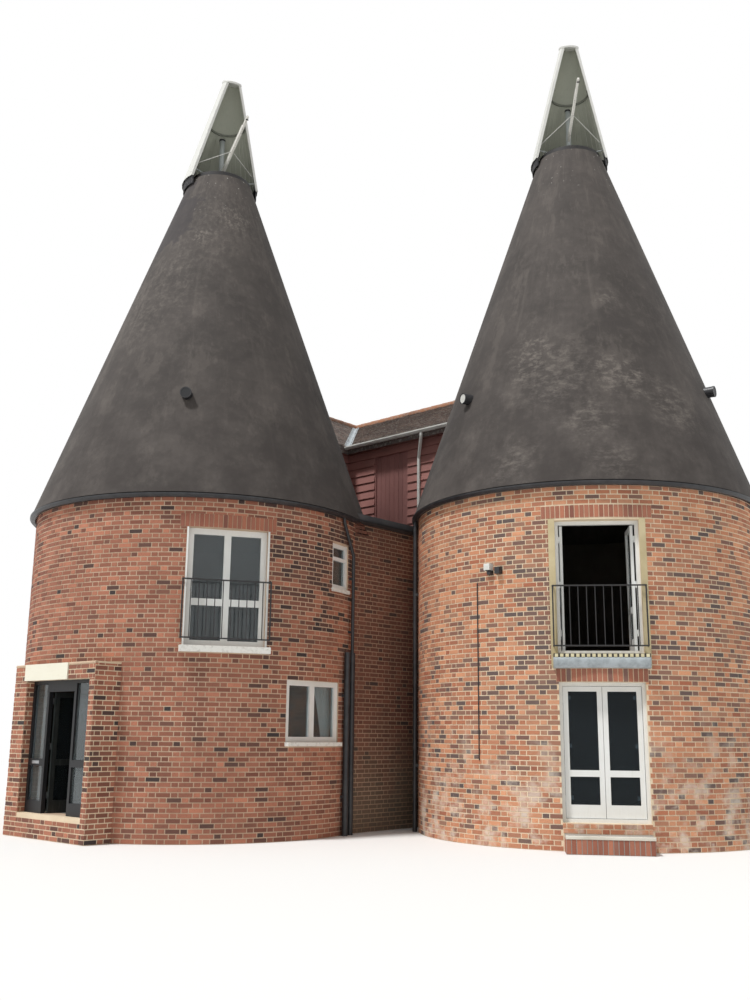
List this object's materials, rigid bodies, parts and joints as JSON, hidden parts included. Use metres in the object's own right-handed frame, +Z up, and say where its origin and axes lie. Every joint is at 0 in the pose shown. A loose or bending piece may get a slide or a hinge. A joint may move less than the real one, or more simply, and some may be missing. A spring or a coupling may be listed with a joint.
{
  "type": "oast house",
  "caption": "Twin-roundel oast house: two round brick kilns with conical roofs and turning white cowls, a flat-roofed brick link and an L-shaped boarded barn behind.",
  "frame": {"origin": "middle of the plan's bounding box, on the ground", "axes": "+Z up; the two kilns stand along X, and the yard side with the doors faces -Y"},
  "size_m": [14.405, 14.2976, 15.21],
  "materials": {
    "black_iron": "painted",
    "black_paint": "satin paint",
    "black_plastic": "satin",
    "brick_left": "matte, weathered",
    "brick_right": "matte, weathered",
    "clay_tiles": "weathered, mossy",
    "cowl_boards": "weathered paint",
    "floor_boards": "matte boards",
    "floor_screed": "matte",
    "glass": "clear",
    "grey_steel": "painted",
    "red_boards": "weathered paint",
    "roof_felt": "matte",
    "sign_paint": "satin paint",
    "sill_lead": "matte",
    "tar_render": "matte tarred render",
    "teal_paint": "satin paint",
    "white_paint": "satin paint",
    "white_plastic": "satin"
  },
  "bodies": {
    "root": {"balcony_rails": "black_iron", "barn_end_walls": "brick_left", "barn_floors": "floor_boards", "barn_gables": "red_boards", "barn_outer_boarding": "red_boards", "barn_outer_wall": "brick_left", "barn_rainwater": "white_plastic", "barn_ridge_tiles": "clay_tiles", "barn_roof_wing_one": "clay_tiles", "barn_roof_wing_two": "clay_tiles", "barn_yard_boarding": "red_boards", "barn_yard_wall": "brick_left", "cone_vents": "black_plastic", "door_step": "brick_right", "entrance_screen": "black_paint", "fixed_glass": "glass", "gutters": "black_plastic", "kiln_ground_floors": "floor_screed", "kiln_pipes": "black_plastic", "kiln_upper_floors": "floor_boards", "left_cone_roof": "tar_render", "left_cowl_curb": "black_iron", "left_kiln_entrance_bay": "brick_left", "left_kiln_wall_east": "brick_left", "left_kiln_wall_north": "brick_left", "left_kiln_wall_south": "brick_left", "left_kiln_wall_west": "brick_left", "left_lower_window": "white_paint", "left_small_window": "white_paint", "left_upper_doors": "white_paint", "link_roof": "roof_felt", "link_wall": "brick_left", "loading_door": "red_boards", "porch_surround": "brick_left", "right_cone_roof": "tar_render", "right_cowl_curb": "black_iron", "right_door_frame": "white_paint", "right_kiln_door_bay": "brick_right", "right_kiln_wall_east": "brick_right", "right_kiln_wall_north_east": "brick_right", "right_kiln_wall_north_west": "brick_right", "right_kiln_wall_west": "brick_right", "right_upper_frame": "white_paint", "right_upper_leaves": "white_paint", "sign_board": "sign_paint", "wall_lamps": "white_paint", "window_sills": "sill_lead"},
    "right_door_left": {"right_door_left_leaf": "white_paint", "right_door_left_glass": "glass"},
    "right_door_right": {"right_door_right_leaf": "white_paint", "right_door_right_glass": "glass"},
    "entrance_door": {"entrance_door_leaf": "teal_paint", "entrance_door_glass": "glass"},
    "left_cowl": {"left_cowl_hood": "cowl_boards", "left_cowl_frame": "grey_steel", "left_cowl_vane": "cowl_boards"},
    "right_cowl": {"right_cowl_hood": "cowl_boards", "right_cowl_frame": "grey_steel", "right_cowl_vane": "cowl_boards"}
  },
  "joints": [
    {"name": "right_door_left_hinge", "type": "hinge", "parent": "root", "child": "right_door_left", "pos_m": [2.70601, -6.5011, 0], "axis": [0, 0, 1], "range_deg": [0, 90]},
    {"name": "right_door_right_hinge", "type": "hinge", "parent": "root", "child": "right_door_right", "pos_m": [3.87159, -6.56627, 0], "axis": [0, 0, -1], "range_deg": [0, 90]},
    {"name": "entrance_door_hinge", "type": "hinge", "parent": "root", "child": "entrance_door", "pos_m": [-5.38648, -6.05929, 0], "axis": [0, 0, 1], "range_deg": [-84, 6]},
    {"name": "left_cowl_turn", "type": "hinge", "parent": "root", "child": "left_cowl", "pos_m": [-3.60776, -3.78913, 12.4], "axis": [0, 0, 1], "continuous": true},
    {"name": "right_cowl_turn", "type": "hinge", "parent": "root", "child": "right_cowl", "pos_m": [3.44224, -3.78913, 12.745], "axis": [0, 0, 1], "continuous": true}
  ]
}
